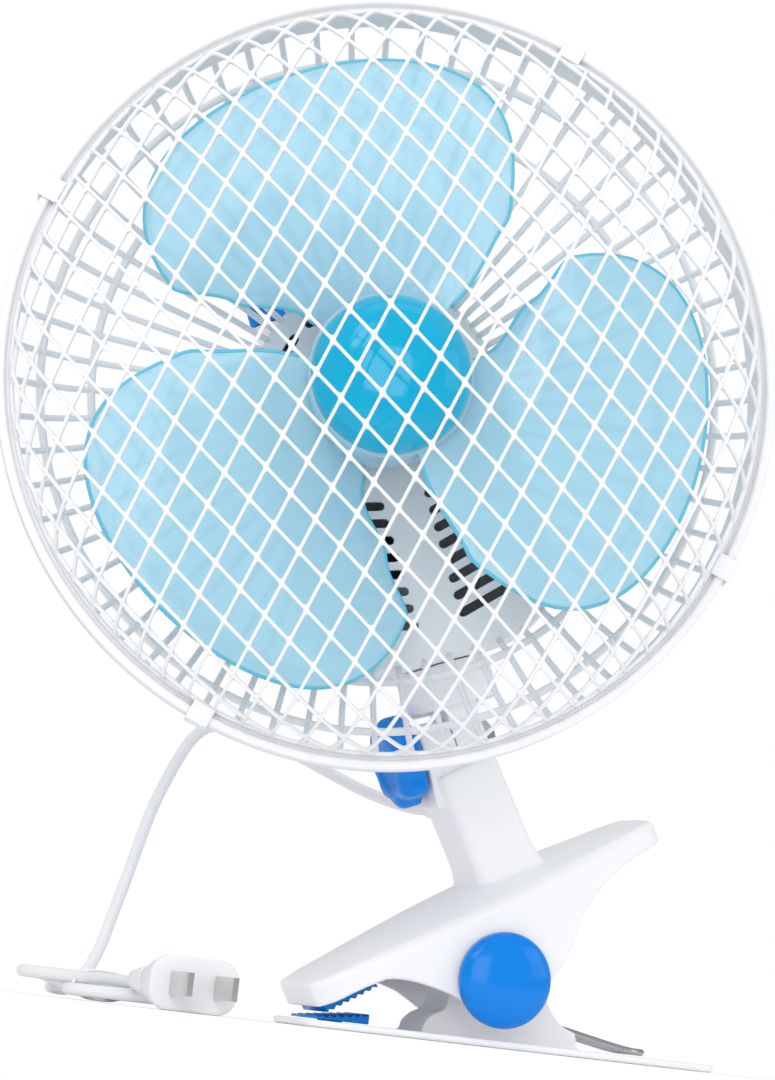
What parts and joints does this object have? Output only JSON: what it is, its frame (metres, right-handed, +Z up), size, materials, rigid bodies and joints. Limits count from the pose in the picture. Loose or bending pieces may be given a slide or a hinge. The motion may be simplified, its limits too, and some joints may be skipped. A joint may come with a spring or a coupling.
{
  "type": "clip fan",
  "caption": "Small desk fan on a spring clip: leaning neck, tilt joint with thumb knob, swinging head, round guard with diamond net, three broad blades, cord with plug.",
  "frame": {"origin": "On the underside of the base plate, in the middle plane of the plate and 64.5 mm behind its front end, on the surface that the clip stands on.", "axes": "+X from the jaws to the handle, +Z up, -Y the side that the fan faces."},
  "size_m": [0.2527, 0.2096, 0.3018],
  "materials": {
    "white_plastic": "satin moulded plastic, cool white",
    "blue_plastic": "glossy blue plastic",
    "blade_plastic": "translucent light blue plastic",
    "spinner_plastic": "translucent turquoise plastic",
    "steel": "plain steel wire and rod",
    "copper": "enamelled copper winding",
    "bronze": "sintered bronze bush",
    "dark_plastic": "dark moulded plastic",
    "rotor_iron": "rotor laminations",
    "cord_jacket": "soft light grey cord jacket",
    "plug_brass": "plated blades"
  },
  "bodies": {
    "base": {"lower_jaw": "white_plastic", "lower_pad": "blue_plastic", "clip_spring": "steel", "cord": "cord_jacket", "cord_hank": "cord_jacket", "hank_tie": "white_plastic", "plug": "cord_jacket", "plug_pin_left": "plug_brass", "plug_pin_right": "plug_brass"},
    "jaw": {"upper_jaw": "white_plastic", "upper_pad": "blue_plastic", "pivot_pin": "steel", "pivot_cap_near": "blue_plastic", "pivot_cap_far": "blue_plastic", "tilt_washer": "steel", "cord_gland": "white_plastic"},
    "bracket": {"swivel_bracket": "white_plastic", "tilt_bolt": "steel"},
    "tilt_nut": {"tilt_knob": "blue_plastic"},
    "head": {"front_guard": "white_plastic", "rear_guard": "white_plastic", "guard_clip_1": "white_plastic", "guard_clip_2": "white_plastic", "guard_clip_3": "white_plastic", "guard_clip_4": "white_plastic", "motor_cover": "white_plastic", "stator": "steel", "winding_front": "copper", "winding_rear": "copper", "front_bearing": "bronze", "rear_bearing": "bronze", "gearbox": "dark_plastic", "speed_switch": "dark_plastic"},
    "blades": {"fan_blade": "blade_plastic", "spinner": "spinner_plastic", "motor_shaft": "steel", "rotor": "rotor_iron"},
    "swing_pull": {"swing_knob": "blue_plastic"},
    "speed_dial": {"speed_knob": "blue_plastic"}
  },
  "joints": [
    {"name": "clip_hinge", "type": "hinge", "parent": "base", "child": "jaw", "pos_m": [-0.009, 0, 0.02], "axis": [0, 1, 0], "range_deg": [0, 30], "stiffness_Nm_per_rad": 6, "springref_deg": -20.05, "deforming": ["clip_spring"]},
    {"name": "tilt_hinge", "type": "hinge", "parent": "jaw", "child": "bracket", "pos_m": [-0.02421, 0, 0.08731], "axis": [0.9304, 0, 0.3665], "range_deg": [-48, 27]},
    {"name": "tilt_knob_turn", "type": "hinge", "parent": "bracket", "child": "tilt_nut", "pos_m": [-0.02421, 0, 0.08731], "axis": [-0.9304, 0, -0.3665], "range_deg": [0, 180]},
    {"name": "head_swing", "type": "hinge", "parent": "bracket", "child": "head", "pos_m": [-0.01909, 0, 0.08932], "axis": [-0.3638, 0.1219, 0.9235], "range_deg": [-27, 53]},
    {"name": "blade_spin", "type": "hinge", "parent": "head", "child": "blades", "pos_m": [-0.07296, -0.04716, 0.18803], "axis": [-0.2528, -0.9671, 0.028], "continuous": true},
    {"name": "swing_pull_slide", "type": "slide", "parent": "head", "child": "swing_pull", "axis": [-0.3638, 0.1219, 0.9235], "range_m": [0, 0.005]},
    {"name": "speed_dial_turn", "type": "hinge", "parent": "head", "child": "speed_dial", "pos_m": [-0.03341, 0.04056, 0.14655], "axis": [0.2528, 0.9671, -0.028], "range_deg": [0, 120]}
  ]
}
